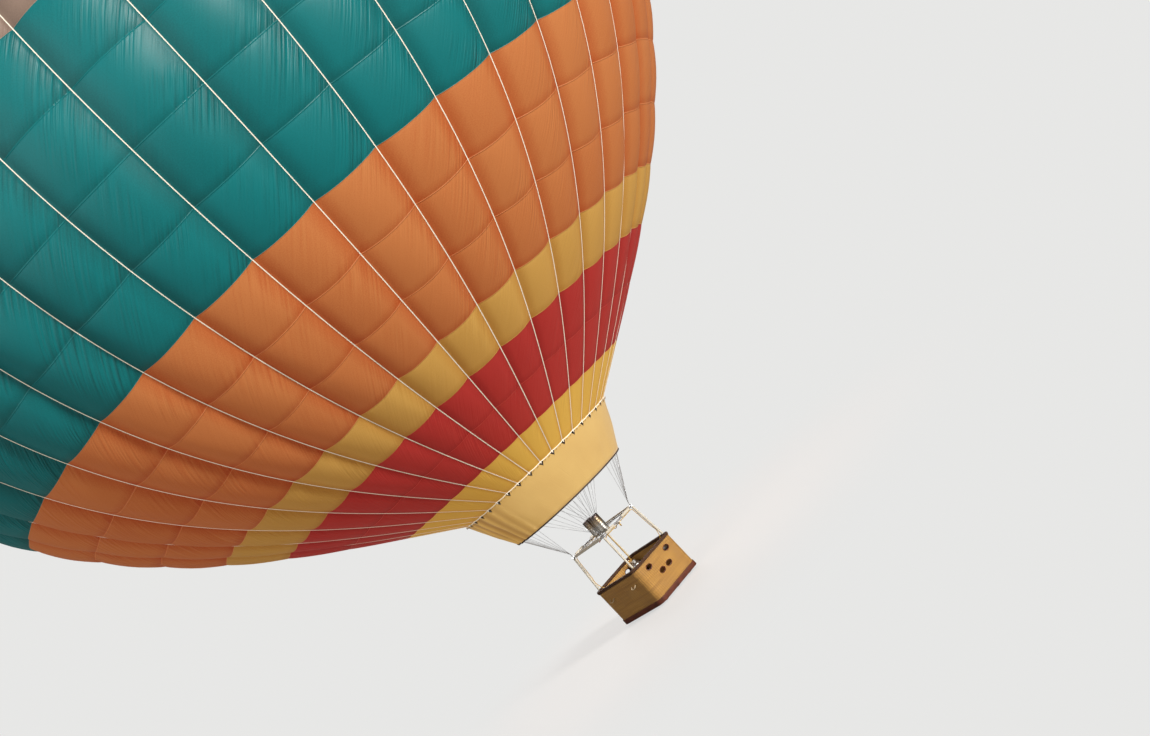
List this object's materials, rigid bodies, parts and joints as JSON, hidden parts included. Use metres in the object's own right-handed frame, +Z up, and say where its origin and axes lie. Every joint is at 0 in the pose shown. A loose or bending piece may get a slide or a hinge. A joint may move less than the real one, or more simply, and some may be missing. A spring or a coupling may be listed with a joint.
{
  "type": "hot air balloon with an open wicker basket, in flying trim",
  "caption": "Hot air balloon: banded envelope of bulged gores with a vent lid, mouth skirt, gimballed twin burner on a load frame, and a wicker basket with fuel tanks.",
  "frame": {"origin": "on the envelope's axis, in the middle of its widest circle, where the lift acts", "axes": "+Z up along the envelope's axis, X along the basket's long sides, the burner levers point to -Y"},
  "size_m": [23.3572, 23.3572, 25.9429],
  "materials": {
    "fabric_gold": "coated woven nylon, sheen, fine wrinkles",
    "fabric_red": "coated woven nylon, sheen, fine wrinkles",
    "fabric_yellow": "coated woven nylon, sheen, fine wrinkles",
    "fabric_orange": "coated woven nylon, sheen, fine wrinkles",
    "fabric_teal": "coated woven nylon, sheen, fine wrinkles",
    "fabric_tan": "coated woven nylon, sheen, fine wrinkles",
    "load_tape": "white woven webbing",
    "skirt_cloth": "heat-proof woven cloth, matt",
    "hem_cloth": "dark sewn hem tape",
    "wire_steel": "stranded steel wire",
    "frame_steel": "satin stainless tube",
    "burner_steel": "heat-tinted stainless steel",
    "crown_metal": "satin",
    "sleeve": "pale padded sleeve",
    "wicker": "woven cane and willow, varnished",
    "rim_leather": "dark brown padded leather",
    "trim_leather": "dark red-brown hide, scuffed",
    "plywood": "varnished plywood",
    "runner_wood": "worn hardwood",
    "tank_metal": "brushed, with scuffs",
    "rope": "laid manila rope"
  },
  "bodies": {
    "root": {"band_lower_gold": "fabric_gold", "band_lower_red": "fabric_red", "band_lower_yellow": "fabric_yellow", "band_lower_orange": "fabric_orange", "band_lower_teal": "fabric_teal", "band_middle_tan": "fabric_tan", "band_upper_teal": "fabric_teal", "band_upper_orange": "fabric_orange", "band_upper_yellow": "fabric_yellow", "band_upper_red": "fabric_red", "crown_tapes": "load_tape", "crown_ring": "crown_metal", "mouth_hem": "load_tape", "skirt": "skirt_cloth", "skirt_hem": "hem_cloth", "flying_wires_front_right": "wire_steel", "flying_wires_rear_right": "wire_steel", "flying_wires_rear_left": "wire_steel", "flying_wires_front_left": "wire_steel", "load_frame": "frame_steel", "basket_floor": "plywood", "basket_walls": "wicker", "basket_rim": "rim_leather", "basket_trim": "trim_leather", "runner_front": "runner_wood", "runner_middle": "runner_wood", "runner_rear": "runner_wood", "upright_front_right": "sleeve", "upright_rear_right": "sleeve", "upright_rear_left": "sleeve", "upright_front_left": "sleeve", "fuel_tank_front_right": "tank_metal", "fuel_tank_rear_right": "tank_metal", "fuel_tank_rear_left": "tank_metal", "fuel_tank_front_left": "tank_metal", "rope_handle_front_right": "rope", "rope_handle_rear_right": "rope", "rope_handle_rear_left": "rope", "rope_handle_front_left": "rope"},
    "vent": {"vent_lid": "fabric_yellow"},
    "gimbal": {"gimbal_ring": "frame_steel"},
    "burner": {"burner_block": "burner_steel", "burner_can_left": "burner_steel", "burner_can_right": "burner_steel", "burner_coil_left": "burner_steel", "burner_coil_right": "burner_steel"}
  },
  "joints": [
    {"name": "vent_pull", "type": "slide", "parent": "root", "child": "vent", "axis": [0, 0, -1], "range_m": [0, 1], "stiffness_N_per_m": 250, "springref_m": -0.8},
    {"name": "gimbal_roll", "type": "hinge", "parent": "root", "child": "gimbal", "pos_m": [0, 0, -14.1435], "axis": [1, 0, 0], "range_deg": [-15, 15]},
    {"name": "gimbal_pitch", "type": "hinge", "parent": "gimbal", "child": "burner", "pos_m": [0, 0, -14.1435], "axis": [0, 1, 0], "range_deg": [-15, 15]}
  ]
}
